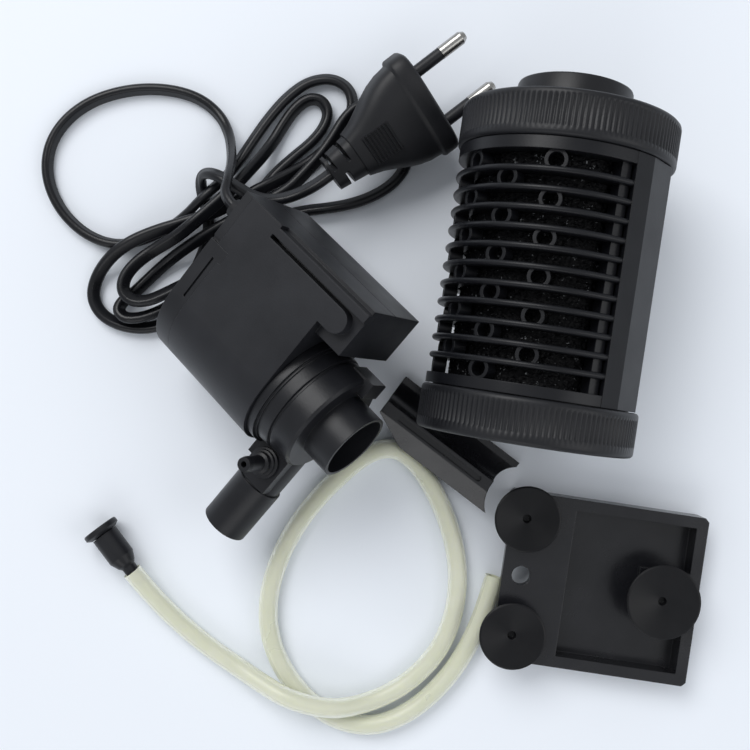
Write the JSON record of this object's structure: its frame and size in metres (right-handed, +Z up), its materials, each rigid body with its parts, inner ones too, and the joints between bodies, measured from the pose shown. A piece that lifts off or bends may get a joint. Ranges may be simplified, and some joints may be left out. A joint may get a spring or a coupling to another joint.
{
  "type": "fountain submersible pump",
  "caption": "Small submersible fountain pump kit: motor with side outlet, corded plug, round louvred pre-filter, suction-cup bracket, saddle clip and air tube with valve.",
  "frame": {"origin": "on the table under the middle of the laid-out pieces, without cord, plug and air tube", "axes": "+Z up from the table, +Y the long way of the layout from the bracket to the filter's top cap, +X from the pump to the filter"},
  "size_m": [0.2087, 0.2151, 0.062],
  "materials": {
    "housing_plastic": "satin, fine grain",
    "cover_plastic": "satin",
    "volute_plastic": "satin",
    "cap_plastic": "satin",
    "cage_plastic": "satin",
    "bracket_plastic": "semi-gloss",
    "cup_rubber": "matte",
    "soft_rubber": "matte",
    "cord_pvc": "satin",
    "plug_pvc": "satin",
    "nickel": "polished nickel",
    "clear_pvc": "translucent, slightly yellow",
    "foam": "open-cell foam",
    "ceramic": "polished ceramic",
    "ferrite": "ground ferrite",
    "impeller_plastic": "moulded",
    "lamination_steel": "stacked sheet",
    "pale_plastic": "moulded",
    "copper_wire": "enamelled copper",
    "potting_resin": "cast resin"
  },
  "bodies": {
    "pump": {"motor_housing": "housing_plastic", "rear_cover": "cover_plastic", "cord_gland": "soft_rubber", "stator_core": "lamination_steel", "coil_bobbin": "pale_plastic", "coil_winding": "copper_wire", "resin_fill": "potting_resin", "rotor_shaft": "ceramic", "rear_bush": "ceramic", "plug_body": "plug_pvc", "plug_sleeve": "plug_pvc", "pin_sleeves": "cover_plastic", "contact_pins": "nickel", "valve_body": "volute_plastic", "air_tube": "clear_pvc", "cord_loop_left": "cord_pvc", "cord_loop_tall": "cord_pvc", "cord_loop_outer": "cord_pvc", "cord_loop_inner": "cord_pvc", "cord_loop_middle": "cord_pvc", "cord_loop_plug": "cord_pvc", "cord_loop_back": "cord_pvc", "cord_lead": "cord_pvc"},
    "rotor": {"impeller": "impeller_plastic", "rotor_magnet": "ferrite"},
    "volute": {"volute_cover": "volute_plastic", "venturi_nipple": "volute_plastic", "front_bush": "ceramic", "seal_ring": "soft_rubber"},
    "cartridge": {"filter_cage": "cage_plastic", "filter_sponge": "foam"},
    "upper_cap": {"top_cap": "cap_plastic"},
    "lower_cap": {"bottom_cap": "cap_plastic"},
    "bracket": {"bracket_plate": "bracket_plastic"},
    "cup_a": {"suction_cup_a": "cup_rubber"},
    "cup_b": {"suction_cup_b": "cup_rubber"},
    "cup_c": {"suction_cup_c": "cup_rubber"},
    "saddle": {"saddle_clip": "bracket_plastic"},
    "knob": {"valve_knob": "volute_plastic"}
  },
  "joints": [
    {"name": "impeller_spin", "type": "hinge", "parent": "pump", "child": "rotor", "pos_m": [-0.04827, 0.00865, 0.02852], "axis": [0.6678, -0.6749, 0.314], "continuous": true},
    {"name": "volute_turn", "type": "hinge", "parent": "pump", "child": "volute", "pos_m": [-0.03825, -0.00147, 0.03323], "axis": [0.6678, -0.6749, 0.314], "range_deg": [-15, 0]},
    {"name": "filter_lift", "type": "slide", "parent": "pump", "child": "cartridge", "axis": [0, 0, 1], "range_m": [0, 0.04]},
    {"name": "upper_cap_turn", "type": "hinge", "parent": "cartridge", "child": "upper_cap", "pos_m": [0.03541, 0.07084, 0.031], "axis": [0.1495, 0.9888, 0], "range_deg": [0, 60]},
    {"name": "lower_cap_turn", "type": "hinge", "parent": "cartridge", "child": "lower_cap", "pos_m": [0.0236, -0.00727, 0.031], "axis": [0.1495, 0.9888, 0], "range_deg": [-60, 0]},
    {"name": "bracket_lift", "type": "slide", "parent": "pump", "child": "bracket", "axis": [0, 0, 1], "range_m": [0, 0.04]},
    {"name": "cup_a_spin", "type": "hinge", "parent": "bracket", "child": "cup_a", "pos_m": [0.02671, -0.03806, 0.008], "axis": [0, 0, 1], "continuous": true},
    {"name": "cup_b_spin", "type": "hinge", "parent": "bracket", "child": "cup_b", "pos_m": [0.02201, -0.07355, 0.008], "axis": [0, 0, 1], "continuous": true},
    {"name": "cup_c_slide", "type": "slide", "parent": "bracket", "child": "cup_c", "axis": [-0.989, 0.1478, 0], "range_m": [0, 0.005]},
    {"name": "saddle_slide", "type": "slide", "parent": "pump", "child": "saddle", "axis": [-0.7944, 0.6074, 0], "range_m": [0, 0.015]},
    {"name": "valve_knob_turn", "type": "hinge", "parent": "pump", "child": "knob", "pos_m": [-0.1048, -0.0429, 0.0058], "axis": [0.6018, -0.7986, 0], "range_deg": [-90, 180]}
  ]
}
